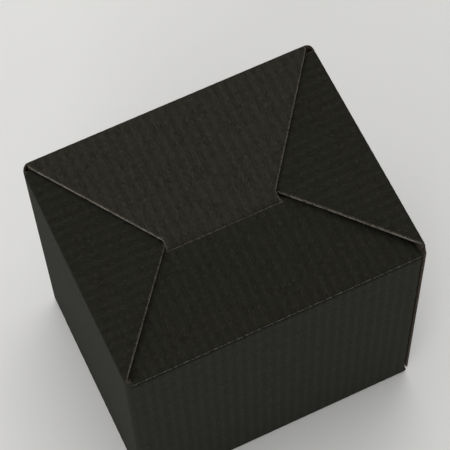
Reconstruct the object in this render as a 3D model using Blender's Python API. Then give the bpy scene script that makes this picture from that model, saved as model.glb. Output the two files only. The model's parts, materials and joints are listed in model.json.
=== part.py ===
"""A small black corrugated carton with a snap-lock bottom, standing upside down on its closed lid.

Run with: blender --background --python part.py
Units are metres, +Z is up, X runs along the long side and +Y points from the front to the back.
Each creased panel of the folded board is one object. A hinged panel has its origin on its crease.
"""
import math

import bmesh
import bpy
from mathutils import Matrix, Vector

MM = 0.001

# Driving dimensions: the outside of the folded carton and its board.
LENGTH = 98.0 * MM            # along X
WIDTH = 77.5 * MM             # along Y
HEIGHT = 101.5 * MM           # from the lid's outer face to the back crease of the bottom
BOARD = 1.6 * MM              # thickness of the corrugated board
GAP = 0.3 * MM                # air between two boards that lie on each other
CORNER_RADIUS = 2.0 * MM      # outside radius of the four upright corners
NOSE_RADIUS = 1.3 * MM        # outside radius where a flap bends away from its wall

# Levels of the creases. Each flap lies one board below the one that covers it.
STEP = BOARD + GAP
TONGUE_CREASE_Z = HEIGHT
SIDE_CREASE_Z = HEIGHT - STEP
RECESS_CREASE_Z = HEIGHT - 3.0 * STEP
DUST_CREASE_Z = STEP

HALF_LENGTH = LENGTH / 2.0
HALF_WIDTH = WIDTH / 2.0

# The bottom's flaps.
TONGUE_LEFT_X = -20.4 * MM    # left side of the locking tongue
TONGUE_RIGHT_X = 16.9 * MM    # right side of the locking tongue
SHOULDER_REACH = 40.3 * MM    # from the back crease to the tongue's root
TONGUE_LENGTH = 16.5 * MM     # from its root to its end
RECESS_REACH = 32.6 * MM      # from the front crease to the edge that holds the tongue
LEG_REACH = 36.6 * MM         # from the front crease to the ends of the recess's legs
LEG_WIDTH = 8.6 * MM          # end of the right leg, measured from the recess
LEFT_LEG_WIDTH = 4.7 * MM     # the recess is off centre, so the left leg is narrower
LEG_CORNER = 1.2 * MM         # the inner corner of each leg is cut back this far
LEG_CORNER_WIDTH = 2.6 * MM
RECESS_SHOULDER = 5.0 * MM    # the recess flap's sides start straight up to this reach
LEFT_TIP_REACH = 28.2 * MM    # from the left crease to the visible tip of the left flap
RIGHT_TIP_REACH = 31.6 * MM   # from the right crease to the visible tip of the right flap
LEFT_TIP_BACK = 42.4 * MM     # from the back to the same tips
RIGHT_TIP_BACK = 40.9 * MM
LEFT_FREE_REACH = 30.6 * MM   # from the left crease to the left flap's hidden free edge
RIGHT_FREE_REACH = 33.6 * MM
SIDE_FLAP_TAPER = 0.80        # hidden edge of a side flap: metres along the crease per metre of reach
SIDE_FLAP_SHOULDER = 3.0 * MM # the hidden edge starts straight up to this reach

# Visible slanting edges. Each runs (start + slope * reach) away from the front, or from the back.
LEFT_FRONT_EDGE = (0.4 * MM, 1.22)
RIGHT_FRONT_EDGE = (1.3 * MM, 1.12)
LEFT_BACK_EDGE = (1.6 * MM, 1.389)
RIGHT_BACK_EDGE = (1.2 * MM, 1.25)

# How the bottom's flaps lie on each other.
SAG_AT_SHOULDER = 2.15 * MM   # how far the bottom sinks between its creases and the tongue
DIVE = 2.0 * MM               # how much deeper the tongue lies under the edge of the recess
DIVE_LENGTH = 4.0 * MM
DIVE_TAIL = 0.12              # slope of the tongue past that
LEFT_RIDE = 2.2 * MM          # width of the tongue flap that rides over each side flap's tip
RIGHT_RIDE = 1.4 * MM
RIDE_RAMP = 11.0 * MM         # and the width over which it then eases down
SIDE_FLAP_DIP = 2.25 * MM     # how far a side flap's tip dips under the tongue flap
SIDE_FLAP_FRONT_DIP = 0.25 * MM
RECESS_LOW_RISE = 1.2 * MM    # rise of the recess flap under the side flaps
RECESS_HIGH_RISE = 3.65 * MM  # rise of the recess flap over the tongue
LEG_RAMP = 2.4 * MM           # a leg comes down from the high rise to the low one over this length
LEG_DROOP = 0.30              # slope of the legs

# The lid and its flaps.
LID_SIDE_GAP = 0.8 * MM
TUCK_HEIGHT = 16.0 * MM
TUCK_LEAN = math.radians(13.0)
TUCK_SIDE_GAP = 3.6 * MM
DUST_REACH = 32.0 * MM
DUST_BACK_GAP = 10.5 * MM     # room that the tuck flap needs behind each dust flap
DUST_TAPER = 0.80

# The glued corner.
GLUE_FLAP_REACH = 18.0 * MM
GLUE_FILM = 0.16 * MM

GRID = 5.0 * MM               # spacing of the cuts that let a flap follow its curved level

BLACK_OUTSIDE = (0.026, 0.025, 0.021)
BLACK_LIGHTER = (0.032, 0.028, 0.024)
BLACK_WALL = (0.028, 0.029, 0.024)
BLACK_INSIDE = (0.024, 0.022, 0.019)
GLUE_COLOUR = (0.55, 0.50, 0.38)


def clear_scene():
    """Remove whatever the opened file holds."""
    for scene_object in list(bpy.data.objects):
        bpy.data.objects.remove(scene_object, do_unlink=True)


def board_material(name, colour, roughness=0.85):
    """Return a matt material for one panel."""
    material = bpy.data.materials.new(name)
    material.use_nodes = True
    shader = material.node_tree.nodes["Principled BSDF"]
    shader.inputs["Base Color"].default_value = (*colour, 1.0)
    shader.inputs["Roughness"].default_value = roughness
    shader.inputs["Metallic"].default_value = 0.0
    return material


def add_object(name, mesh_builder, colour, pivot=(0.0, 0.0, 0.0), roughness=0.85):
    """Make an object from a bmesh in world coordinates, with its origin at pivot."""
    bmesh.ops.recalc_face_normals(mesh_builder, faces=mesh_builder.faces)
    bmesh.ops.translate(mesh_builder, vec=-Vector(pivot), verts=mesh_builder.verts)
    mesh = bpy.data.meshes.new(name)
    mesh_builder.to_mesh(mesh)
    mesh_builder.free()
    mesh.materials.append(board_material(name + "_board", colour, roughness))
    panel = bpy.data.objects.new(name, mesh)
    panel.location = pivot
    bpy.context.scene.collection.objects.link(panel)
    return panel


def arc(centre_x, centre_y, radius, start, end, steps=5):
    """Points of a circular arc in plan, with angles in degrees."""
    points = []
    for index in range(steps + 1):
        angle = math.radians(start + (end - start) * index / steps)
        points.append((centre_x + radius * math.cos(angle), centre_y + radius * math.sin(angle)))
    return points


def upright_prism(outline, low, high):
    """A wall or a strip: its plan outline, raised from low to high."""
    builder = bmesh.new()
    corners = [builder.verts.new((x, y, low)) for x, y in outline]
    floor = builder.faces.new(corners)
    raised = bmesh.ops.extrude_face_region(builder, geom=[floor], use_keep_orig=True)
    raised_verts = [item for item in raised["geom"] if isinstance(item, bmesh.types.BMVert)]
    bmesh.ops.translate(builder, vec=(0.0, 0.0, high - low), verts=raised_verts)
    return builder


def nose_drop(distance):
    """How far a bent edge falls away at this distance from its crease."""
    if distance >= NOSE_RADIUS:
        return 0.0
    inward = NOSE_RADIUS - distance
    return NOSE_RADIUS - math.sqrt(max(NOSE_RADIUS ** 2 - inward ** 2, 0.0))


def cut_into_strips(builder, x_cuts, y_cuts):
    """Cut a flat face along lines of constant x and constant y."""
    cuts = [((x, 0.0, 0.0), (1.0, 0.0, 0.0)) for x in x_cuts]
    cuts += [((0.0, y, 0.0), (0.0, 1.0, 0.0)) for y in y_cuts]
    for point, normal in cuts:
        everything = builder.verts[:] + builder.edges[:] + builder.faces[:]
        bmesh.ops.bisect_plane(builder, geom=everything, plane_co=point, plane_no=normal, dist=1e-6)


def spaced(low, high, step=GRID):
    """Evenly spaced values strictly between low and high."""
    count = max(int(round((high - low) / step)), 1)
    return [low + (high - low) * index / count for index in range(1, count)]


def nose_cuts():
    """Distances from a crease at which the rounded nose needs a row of points."""
    return [NOSE_RADIUS * share for share in (0.07, 0.28, 0.6, 1.0)]


def curved_panel(outline, x_cuts, y_cuts, outer_level, crease_distance, inside):
    """A board whose outer face follows outer_level(x, y).

    crease_distance(x, y) is the distance from the crease, for the rounded nose. inside is -1 where
    the board's thickness goes down from its outer face, and +1 where it goes up.
    """
    builder = bmesh.new()
    builder.faces.new([builder.verts.new((x, y, 0.0)) for x, y in outline])
    cut_into_strips(builder, x_cuts, y_cuts)
    copied = bmesh.ops.extrude_face_region(builder, geom=builder.faces[:], use_keep_orig=True)
    inner_verts = {item for item in copied["geom"] if isinstance(item, bmesh.types.BMVert)}
    for vert in builder.verts:
        x, y = vert.co.x, vert.co.y
        level = outer_level(x, y)
        if vert in inner_verts:
            vert.co.z = level + inside * BOARD
        else:
            vert.co.z = level + inside * nose_drop(crease_distance(x, y))
    return builder


def smooth(value):
    """Ease from 0 to 1."""
    value = min(max(value, 0.0), 1.0)
    return value * value * (3.0 - 2.0 * value)


# --- levels of the four bottom flaps ------------------------------------------------------------

def from_back(y):
    return HALF_WIDTH - y


def from_front(y):
    return y + HALF_WIDTH


def tongue_flap_level(x, y):
    """The middle of the tongue flap runs straight from its crease to the edge that holds the tongue.

    Beside that it rides over the tips of the side flaps, and only the tongue dives under the edge.
    """
    reach = from_back(y)
    sag = SAG_AT_SHOULDER * min(reach / SHOULDER_REACH, 1.0)
    dive = DIVE * min(max(reach - SHOULDER_REACH, 0.0) / DIVE_LENGTH, 1.0)
    dive_end = SHOULDER_REACH + DIVE_LENGTH
    straight = (SAG_AT_SHOULDER + DIVE) * min(reach / dive_end, 1.0)
    left = smooth((x - TONGUE_LEFT_X - LEFT_RIDE) / RIDE_RAMP)
    right = smooth((TONGUE_RIGHT_X - RIGHT_RIDE - x) / RIDE_RAMP)
    tail = DIVE_TAIL * max(reach - dive_end, 0.0)
    return TONGUE_CREASE_Z - (sag + dive) - (straight - sag - dive) * left * right - tail


def recess_flap_level(x, y):
    """The recess flap rises from its crease to its recess, which lies over the tongue.

    Towards the side flaps that cover it, it fans down to a lower level, and so do its legs.
    """
    reach = from_front(y)
    past = max(reach - RECESS_REACH, 0.0)
    left_cover = -HALF_LENGTH + (min(reach, RECESS_REACH) - LEFT_FRONT_EDGE[0]) / LEFT_FRONT_EDGE[1]
    right_cover = HALF_LENGTH - (min(reach, RECESS_REACH) - RIGHT_FRONT_EDGE[0]) / RIGHT_FRONT_EDGE[1]
    left = smooth((x - left_cover) / (TONGUE_LEFT_X + GAP - left_cover))
    right = smooth((right_cover - x) / (right_cover - TONGUE_RIGHT_X + GAP))
    high_share = min(left, right) * max(1.0 - past / LEG_RAMP, 0.0)
    rise = RECESS_LOW_RISE + (RECESS_HIGH_RISE - RECESS_LOW_RISE) * high_share
    return RECESS_CREASE_Z + rise * min(reach / RECESS_REACH, 1.0) - LEG_DROOP * past


def side_flap_level(reach, y, tip_reach, back_edge, front_edge):
    """A side flap dips under the tongue flap, and its front edge rides over the recess flap."""
    cover_reach = back_edge[0] + back_edge[1] * reach
    front_reach = WIDTH - front_edge[0] - front_edge[1] * reach
    room = max(front_reach - cover_reach, GAP)
    share = smooth((from_back(y) - cover_reach) / room)
    dip = SIDE_FLAP_DIP + (SIDE_FLAP_FRONT_DIP - SIDE_FLAP_DIP) * share
    return SIDE_CREASE_Z - dip * reach / tip_reach


def left_flap_level(x, y):
    return side_flap_level(x + HALF_LENGTH, y, LEFT_TIP_REACH, LEFT_BACK_EDGE, LEFT_FRONT_EDGE)


def right_flap_level(x, y):
    return side_flap_level(HALF_LENGTH - x, y, RIGHT_TIP_REACH, RIGHT_BACK_EDGE, RIGHT_FRONT_EDGE)


# --- walls --------------------------------------------------------------------------------------

def make_walls():
    """Four walls with mitred, rounded corners. The front right corner is the glued joint."""
    mitre = GAP / 2.0
    inner_x = HALF_LENGTH - BOARD
    inner_y = HALF_WIDTH - BOARD
    bend_x = HALF_LENGTH - CORNER_RADIUS
    bend_y = HALF_WIDTH - CORNER_RADIUS
    bend_end_x = inner_x - GAP

    front = [(x + mitre, y) for x, y in arc(-bend_x, -bend_y, CORNER_RADIUS, 225.0, 270.0)]
    front += arc(bend_end_x - BOARD, -HALF_WIDTH + BOARD, BOARD, 270.0, 360.0)
    front += [(-inner_x + mitre, -inner_y)]
    add_object("front_wall", upright_prism(front, STEP, RECESS_CREASE_Z - STEP), BLACK_WALL)

    back = [(x - mitre, y) for x, y in arc(bend_x, bend_y, CORNER_RADIUS, 45.0, 90.0)]
    back += [(x + mitre, y) for x, y in arc(-bend_x, bend_y, CORNER_RADIUS, 90.0, 135.0)]
    back += [(-inner_x + mitre, inner_y), (inner_x - mitre, inner_y)]
    add_object("back_wall", upright_prism(back, GAP, TONGUE_CREASE_Z - STEP), BLACK_WALL)

    side_low = DUST_CREASE_Z + STEP
    side_high = SIDE_CREASE_Z - STEP
    left = [(x, y - mitre) for x, y in arc(-bend_x, bend_y, CORNER_RADIUS, 135.0, 180.0)]
    left += [(x, y + mitre) for x, y in arc(-bend_x, -bend_y, CORNER_RADIUS, 180.0, 225.0)]
    left += [(-inner_x, -inner_y + mitre), (-inner_x, inner_y - mitre)]
    add_object("left_wall", upright_prism(left, side_low, side_high), BLACK_WALL)

    right = [(inner_x, -HALF_WIDTH + mitre), (HALF_LENGTH, -HALF_WIDTH + mitre)]
    right += [(x, y - mitre) for x, y in arc(bend_x, bend_y, CORNER_RADIUS, 0.0, 45.0)]
    right += [(inner_x, inner_y - mitre)]
    add_object("right_wall", upright_prism(right, side_low, side_high), BLACK_WALL)


def make_glued_joint():
    """The glue flap bends from the front wall and lies inside the right wall, with glue between."""
    outer_x = HALF_LENGTH - BOARD - GAP
    start_y = -HALF_WIDTH + BOARD + GAP
    end_y = start_y + GLUE_FLAP_REACH
    low = 5.0 * MM
    high = RECESS_CREASE_Z - 2.0 * STEP
    slant = 3.0 * MM
    builder = upright_prism([(outer_x - BOARD, start_y), (outer_x, start_y),
                             (outer_x, end_y), (outer_x - BOARD, end_y)], low, high)
    for vert in builder.verts:
        if vert.co.y > start_y + GAP:
            vert.co.z += slant if vert.co.z < HEIGHT / 2.0 else -slant
    add_object("glue_flap", builder, BLACK_INSIDE)

    film_x = outer_x + (GAP - GLUE_FILM) / 2.0
    inset = 4.0 * MM
    film = [(film_x, start_y + inset), (film_x + GLUE_FILM, start_y + inset),
            (film_x + GLUE_FILM, end_y - inset), (film_x, end_y - inset)]
    add_object("glue_film", upright_prism(film, low + 2.0 * slant, high - 2.0 * slant), GLUE_COLOUR,
               roughness=0.45)


# --- the snap-lock bottom, on top in this pose --------------------------------------------------

def make_tongue_flap():
    """The last flap to close: a trapezium on the back crease."""
    root_y = HALF_WIDTH - SHOULDER_REACH
    crease_left = -HALF_LENGTH + 1.9 * MM
    crease_right = HALF_LENGTH - 2.9 * MM
    outline = [(crease_left, HALF_WIDTH), (crease_left, HALF_WIDTH - BOARD), (TONGUE_LEFT_X, root_y),
               (TONGUE_RIGHT_X, root_y), (crease_right, HALF_WIDTH - BOARD), (crease_right, HALF_WIDTH)]
    x_cuts = spaced(TONGUE_LEFT_X, TONGUE_RIGHT_X, 0.5 * GRID)
    y_cuts = [HALF_WIDTH - cut for cut in nose_cuts()]
    y_cuts += [HALF_WIDTH - cut for cut in spaced(NOSE_RADIUS, SHOULDER_REACH, 2.0 * GRID)]
    builder = curved_panel(outline, x_cuts, y_cuts, tongue_flap_level, lambda x, y: from_back(y), -1.0)
    pivot = (0.0, HALF_WIDTH, TONGUE_CREASE_Z)
    add_object("tongue_flap", builder, BLACK_LIGHTER, pivot)

    top_y = root_y - GAP
    end_y = root_y - TONGUE_LENGTH
    rounding = 5.0 * MM
    outline = [(TONGUE_RIGHT_X, top_y), (TONGUE_LEFT_X, top_y)]
    outline += arc(TONGUE_LEFT_X + rounding, end_y + rounding, rounding, 180.0, 270.0)
    outline += arc(TONGUE_RIGHT_X - rounding, end_y + rounding, rounding, 270.0, 360.0)
    y_cuts = [root_y - DIVE_LENGTH]
    builder = curved_panel(outline, x_cuts, y_cuts, tongue_flap_level, lambda x, y: from_back(y), -1.0)
    add_object("lock_tongue", builder, BLACK_LIGHTER, pivot)


def side_flap_outline(tip_reach, tip_back, corner_reach, front_edge, free_reach):
    """Outline of a side flap as (reach from its crease, distance from the back)."""
    hidden_start = BOARD + 1.5 * GAP
    corner_back = WIDTH - front_edge[0] - front_edge[1] * corner_reach
    outline = [(0.0, corner_back), (corner_reach, corner_back)]
    outline += [(tip_reach, tip_back), (tip_reach, SHOULDER_REACH)]
    outline += [(free_reach, SHOULDER_REACH - 4.0 * MM)]
    outline += [(free_reach, hidden_start + SIDE_FLAP_TAPER * free_reach)]
    outline += [(SIDE_FLAP_SHOULDER, hidden_start), (0.0, hidden_start)]
    return outline


def make_side_flaps():
    """Two side flaps: over the recess flap in front, and under the tongue flap behind."""
    corner_reach = 0.2 * MM
    y_cuts = spaced(-HALF_WIDTH, HALF_WIDTH, GRID) + [HALF_WIDTH - SHOULDER_REACH - GAP]

    outline = side_flap_outline(LEFT_TIP_REACH, LEFT_TIP_BACK, corner_reach, LEFT_FRONT_EDGE,
                                LEFT_FREE_REACH)
    outline = [(reach - HALF_LENGTH, HALF_WIDTH - back) for reach, back in outline]
    x_cuts = [-HALF_LENGTH + cut for cut in nose_cuts() + spaced(NOSE_RADIUS, LEFT_FREE_REACH, GRID)]
    builder = curved_panel(outline, x_cuts, y_cuts, left_flap_level,
                           lambda x, y: x + HALF_LENGTH, -1.0)
    add_object("left_side_flap", builder, BLACK_OUTSIDE, (-HALF_LENGTH, 0.0, SIDE_CREASE_Z))

    outline = side_flap_outline(RIGHT_TIP_REACH, RIGHT_TIP_BACK, corner_reach, RIGHT_FRONT_EDGE,
                                RIGHT_FREE_REACH)
    outline = [(HALF_LENGTH - reach, HALF_WIDTH - back) for reach, back in outline]
    x_cuts = [HALF_LENGTH - cut for cut in nose_cuts() + spaced(NOSE_RADIUS, RIGHT_FREE_REACH, GRID)]
    builder = curved_panel(outline, x_cuts, y_cuts, right_flap_level,
                           lambda x, y: HALF_LENGTH - x, -1.0)
    add_object("right_side_flap", builder, BLACK_OUTSIDE, (HALF_LENGTH, 0.0, SIDE_CREASE_Z))


def make_recess_flap():
    """The first flap to close: its recess takes the tongue, and its legs lie under the side flaps."""
    start = HALF_LENGTH - BOARD - GAP
    recess_y = -HALF_WIDTH + RECESS_REACH
    leg_y = -HALF_WIDTH + LEG_REACH
    shoulder_y = -HALF_WIDTH + RECESS_SHOULDER
    recess_left = TONGUE_LEFT_X - GAP
    recess_right = TONGUE_RIGHT_X + GAP
    outline = [(-start, -HALF_WIDTH), (start, -HALF_WIDTH), (start, shoulder_y)]
    outline += [(recess_right + LEG_WIDTH, leg_y), (recess_right + LEG_CORNER_WIDTH, leg_y)]
    outline += [(recess_right, leg_y - LEG_CORNER), (recess_right, recess_y), (recess_left, recess_y)]
    outline += [(recess_left, leg_y - LEG_CORNER), (recess_left - LEG_CORNER_WIDTH, leg_y)]
    outline += [(recess_left - LEFT_LEG_WIDTH, leg_y), (-start, shoulder_y)]
    x_cuts = spaced(-start, recess_left - GRID, 0.5 * GRID) + spaced(recess_right + GRID, start, 0.5 * GRID)
    fine = 0.15 * GRID
    for offset in spaced(-GRID, 0.5 * GRID, fine):
        x_cuts += [recess_left + offset, recess_right - offset]
    y_cuts = [-HALF_WIDTH + cut for cut in nose_cuts()]
    y_cuts += [-HALF_WIDTH + cut for cut in spaced(NOSE_RADIUS, RECESS_REACH)]
    y_cuts += [recess_y, recess_y + 0.5 * LEG_RAMP, recess_y + LEG_RAMP]
    builder = curved_panel(outline, x_cuts, y_cuts, recess_flap_level, lambda x, y: from_front(y), -1.0)
    add_object("recess_flap", builder, BLACK_OUTSIDE, (0.0, -HALF_WIDTH, RECESS_CREASE_Z))


# --- the tuck-in lid that the carton stands on ---------------------------------------------------

def make_lid():
    """The lid hinges on the front wall. Its tuck flap leans inwards behind the back wall."""
    half = HALF_LENGTH - LID_SIDE_GAP
    free_y = HALF_WIDTH - STEP
    outline = [(-half, -HALF_WIDTH), (half, -HALF_WIDTH), (half, free_y), (-half, free_y)]
    y_cuts = [-HALF_WIDTH + cut for cut in nose_cuts()] + [free_y - cut for cut in nose_cuts()]
    builder = curved_panel(outline, [], y_cuts, lambda x, y: 0.0,
                           lambda x, y: min(from_front(y), free_y - y), 1.0)
    add_object("lid", builder, BLACK_OUTSIDE, (0.0, -HALF_WIDTH, 0.0))

    tuck_half = HALF_LENGTH - TUCK_SIDE_GAP
    rounding = 9.0 * MM
    start = STEP + BOARD * math.tan(TUCK_LEAN)
    end = start + TUCK_HEIGHT
    outline = [(-tuck_half, start), (tuck_half, start)]
    outline += arc(tuck_half - rounding, end - rounding, rounding, 0.0, 90.0, 8)
    outline += arc(-tuck_half + rounding, end - rounding, rounding, 90.0, 180.0, 8)
    builder = upright_prism(outline, 0.0, BOARD)
    stand_up = Matrix.Rotation(math.radians(90.0) + TUCK_LEAN, 4, "X")
    bmesh.ops.transform(builder, matrix=Matrix.Translation((0.0, free_y, 0.0)) @ stand_up,
                        verts=builder.verts)
    add_object("tuck_flap", builder, BLACK_INSIDE, (0.0, free_y, 0.0))


def make_dust_flaps():
    """Two dust flaps between the side walls and the lid."""
    back_y = HALF_WIDTH - DUST_BACK_GAP
    front_y = -HALF_WIDTH + 2.2 * MM
    slant = DUST_TAPER * DUST_REACH
    outline = [(0.0, front_y), (BOARD, front_y + DUST_TAPER * BOARD), (DUST_REACH, front_y + slant)]
    outline += [(DUST_REACH, back_y - 6.0 * MM), (DUST_REACH - 4.0 * MM, back_y - 1.0 * MM)]
    outline += [(BOARD, back_y), (0.0, back_y)]
    for name, side in (("left_dust_flap", -1.0), ("right_dust_flap", 1.0)):
        crease_x = side * HALF_LENGTH
        placed = [(crease_x - side * reach, y) for reach, y in outline]
        x_cuts = [crease_x - side * cut for cut in nose_cuts()]
        builder = curved_panel(placed, x_cuts, [], lambda x, y: DUST_CREASE_Z,
                               lambda x, y: HALF_LENGTH - abs(x), 1.0)
        add_object(name, builder, BLACK_INSIDE, (crease_x, 0.0, DUST_CREASE_Z))


def main():
    clear_scene()
    make_walls()
    make_glued_joint()
    make_tongue_flap()
    make_side_flaps()
    make_recess_flap()
    make_lid()
    make_dust_flaps()


main()
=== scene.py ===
"""Looks of a small black corrugated carton with a snap-lock bottom, standing on its closed lid.

Each panel of the folded board is rebuilt over its CAD node as three plies: a black outer liner, the
wavy fluting and a black inner liner. A flap's liners run on round its crease.
Panels are laid out in board coordinates: u runs across the flutes, s runs along them (on a flap, the
distance from its crease), and depth is measured inwards from the outer face.
"""
import json
import math

import bpy
import numpy as np
from mathutils import Matrix, Vector

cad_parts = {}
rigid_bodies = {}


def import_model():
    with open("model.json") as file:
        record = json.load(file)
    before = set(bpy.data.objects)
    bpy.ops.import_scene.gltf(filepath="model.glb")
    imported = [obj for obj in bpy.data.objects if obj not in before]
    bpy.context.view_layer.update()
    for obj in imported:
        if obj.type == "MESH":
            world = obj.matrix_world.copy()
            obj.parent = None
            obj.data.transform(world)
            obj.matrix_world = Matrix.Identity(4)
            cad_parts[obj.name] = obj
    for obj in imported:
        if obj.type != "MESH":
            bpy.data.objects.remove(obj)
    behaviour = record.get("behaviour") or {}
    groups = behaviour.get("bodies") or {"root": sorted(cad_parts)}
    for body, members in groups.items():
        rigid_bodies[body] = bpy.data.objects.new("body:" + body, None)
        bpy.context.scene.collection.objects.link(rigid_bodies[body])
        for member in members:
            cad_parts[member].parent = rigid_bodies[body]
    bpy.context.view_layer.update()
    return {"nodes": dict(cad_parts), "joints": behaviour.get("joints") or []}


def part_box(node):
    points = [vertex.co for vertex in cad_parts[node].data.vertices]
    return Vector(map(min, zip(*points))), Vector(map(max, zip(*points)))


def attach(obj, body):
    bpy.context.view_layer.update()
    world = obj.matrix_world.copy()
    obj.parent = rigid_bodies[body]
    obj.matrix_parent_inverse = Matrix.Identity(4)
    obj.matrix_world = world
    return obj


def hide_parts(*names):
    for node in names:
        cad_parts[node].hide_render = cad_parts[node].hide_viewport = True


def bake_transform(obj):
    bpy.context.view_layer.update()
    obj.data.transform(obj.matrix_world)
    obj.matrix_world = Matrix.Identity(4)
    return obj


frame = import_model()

MM = 0.001

# --- sizes from the frame ---

BOX = {node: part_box(node) for node in frame["nodes"]}
CREASE_AT = {joint["child"]: Vector(joint["pos_m"]) for joint in frame["joints"]}

HALF_LENGTH = BOX["left_side_flap"][0].x * -1.0
HALF_WIDTH = BOX["back_wall"][1].y
WIDTH = 2.0 * HALF_WIDTH
BOARD = BOX["lid"][1].z - BOX["lid"][0].z
TONGUE_CREASE_Z = CREASE_AT["tongue_flap"].z
SIDE_CREASE_Z = CREASE_AT["left_side_flap"].z
RECESS_CREASE_Z = CREASE_AT["recess_flap"].z
DUST_CREASE_Z = CREASE_AT["left_dust_flap"].z
GAP = DUST_CREASE_Z - BOARD

TONGUE_LEFT_X = BOX["lock_tongue"][0].x
TONGUE_RIGHT_X = BOX["lock_tongue"][1].x
SHOULDER_REACH = HALF_WIDTH - BOX["tongue_flap"][0].y
TONGUE_END_REACH = HALF_WIDTH - BOX["lock_tongue"][0].y
LEG_REACH = HALF_WIDTH + BOX["recess_flap"][1].y

# --- board and fold sizes that the frame doesn't give ---

PITCH = 3.3 * MM              # from one flute to the next
LINER = 0.25 * MM
FLUTE_SHEET = 0.22 * MM
FLUTE_STEPS = 8               # points across one flute
RIB_RELIEF = 0.03 * MM        # how far a liner sinks between flutes
CRUSH_REACH = 1.3 * MM        # the die presses a cut edge thinner over this distance
OUTER_CRUSH = 0.40 * MM
INNER_CRUSH = 0.30 * MM
CREASE_CRUSH = 0.60           # share of the thickness lost on a score line
RAW_EDGE_CRUSH = 0.45         # and at the right wall's raw edge
FLUTE_START = 0.4 * MM        # from a fold to the start of a flap's fluting,
CRUSHED_FLUTE = 0.10          # which has this share of its height there
FLUTE_RECOVERY = 2.2 * MM     # and all of it after this distance
NOSE_RADIUS = 1.3 * MM
CORNER_RADIUS = 2.0 * MM
SEAM_DROP = 1.9 * MM          # a flap's outer liner starts this far before its crease
INNER_SEAM_ROOM = 1.15 * MM

RECESS_REACH = 33.0 * MM      # from the front crease to the edge that holds the tongue
RECESS_SHOULDER = 5.0 * MM
RECESS_LOW_RISE = 1.2 * MM    # rise of the recess flap under the side flaps
RECESS_HIGH_RISE = 3.65 * MM  # its rise over the tongue
LEFT_LEG_WIDTH = 4.7 * MM
RIGHT_LEG_WIDTH = 8.6 * MM
LEG_CORNER = 0.4 * MM
RECESS_ROOM = 0.08 * MM       # from the tongue's sides to the recess
LEFT_TIP_REACH = 28.4 * MM
RIGHT_TIP_REACH = 31.7 * MM
LEFT_TIP_BACK = 42.4 * MM      # from the back to the same tips
RIGHT_TIP_BACK = 40.6 * MM
LEFT_FREE_REACH = 30.6 * MM    # from the side creases to the flaps' hidden free edges
RIGHT_FREE_REACH = 33.6 * MM
SIDE_CORNER_REACH = 0.2 * MM   # a side flap's front edge starts this far from its crease
LEFT_CORNER_FRONT = 0.3 * MM   # and this far from the front
RIGHT_CORNER_FRONT = 1.5 * MM
SIDE_FLAP_SHOULDER = 3.0 * MM
SIDE_FLAP_TAPER = 0.80         # hidden edge: distance along the crease per distance of reach
FREE_CORNER = 4.0 * MM         # the hidden free edge starts this far past the tip
TONGUE_ROUNDING = 5.0 * MM
TUCK_ROUNDING = 9.0 * MM

# Slanting edges of the side flaps: (start, slope), measured from the front and from the back.
LEFT_FRONT_EDGE = (0.4 * MM, 1.22)
RIGHT_FRONT_EDGE = (1.3 * MM, 1.123)
LEFT_COVER = (0.9 * MM, 0.72)
RIGHT_COVER = (0.4 * MM, 0.80)

# How the flaps lie.
LEFT_RIDE = 2.2 * MM           # width of the tongue flap that rides over each side flap's tip
RIGHT_RIDE = 1.4 * MM
RIDE_RAMP = 11.0 * MM          # and the width over which it then eases down
DIVE_TAIL = 0.12               # slope of the tongue past its dive
LEG_RAMP = 3.0 * MM            # a leg of the recess flap comes down over this length
RECESS_EDGE_DROOP = 0.05       # slope past the recess's edge,
LEG_DROOP = 0.25               # with this much more on the legs
SAG_AT_SHOULDER = 2.2 * MM    # how far the tongue flap sinks to its shoulders
SAG_AT_RECESS = 3.4 * MM      # and to the edge of the recess
HIDDEN_DIVE = 1.0 * MM        # the tongue dives further once it is under that edge
HIDDEN_DIVE_LENGTH = 2.0 * MM
SIDE_FLAP_DIP = 2.25 * MM     # how far a side flap dips under the tongue flap
FRONT_DIP = 0.25 * MM         # and how far its front edge sinks,
TIP_DIP = 1.0 * MM            # with more at its tip
TUCK_LEAN = 13.0
GLUE_BEND_RADIUS = 1.0 * MM   # the tight bend of the glued corner
GLUE_BEND_X = HALF_LENGTH - 2.4 * MM
GLUE_PRESS = 0.3 * MM         # and how far the right wall's raw edge is pressed towards it
RAW_CRUSH_REACH = 4.5 * MM    # distances from that edge over which it is crushed and pressed
RAW_PRESS_REACH = 7.0 * MM

# --- camera ---

CAMERA_AT = Vector((-99.22, -238.44, 632.44)) * MM
CAMERA_AZIMUTH = -22.71
CAMERA_ELEVATION = 64.66
CAMERA_ROLL = -2.87
CAMERA_LENS = 158.83


def add_camera():
    data = bpy.data.cameras.new("camera")
    data.lens = CAMERA_LENS
    data.sensor_width = 36.0
    data.clip_start = 0.01
    camera = bpy.data.objects.new("camera", data)
    turn = Matrix.Rotation(math.radians(CAMERA_AZIMUTH), 4, "Z")
    tilt = Matrix.Rotation(math.radians(90.0 - CAMERA_ELEVATION), 4, "X")
    roll = Matrix.Rotation(math.radians(CAMERA_ROLL), 4, "Z")
    camera.matrix_world = Matrix.Translation(CAMERA_AT) @ turn @ tilt @ roll
    bpy.context.scene.collection.objects.link(camera)
    bpy.context.scene.camera = camera


# --- small helpers ---

def smooth(value):
    """Ease from 0 to 1."""
    value = np.clip(value, 0.0, 1.0)
    return value * value * (3.0 - 2.0 * value)


def arc(centre_u, centre_s, radius, start, end, steps=6):
    """Points of a circular arc, with angles in degrees."""
    points = []
    for index in range(steps + 1):
        angle = math.radians(start + (end - start) * index / steps)
        points.append((centre_u + radius * math.cos(angle), centre_s + radius * math.sin(angle)))
    return points


def along_line(line, u):
    """Height of a line of (u, s) points over u."""
    points = np.array(line)
    return np.interp(u, points[:, 0], points[:, 1])


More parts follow.
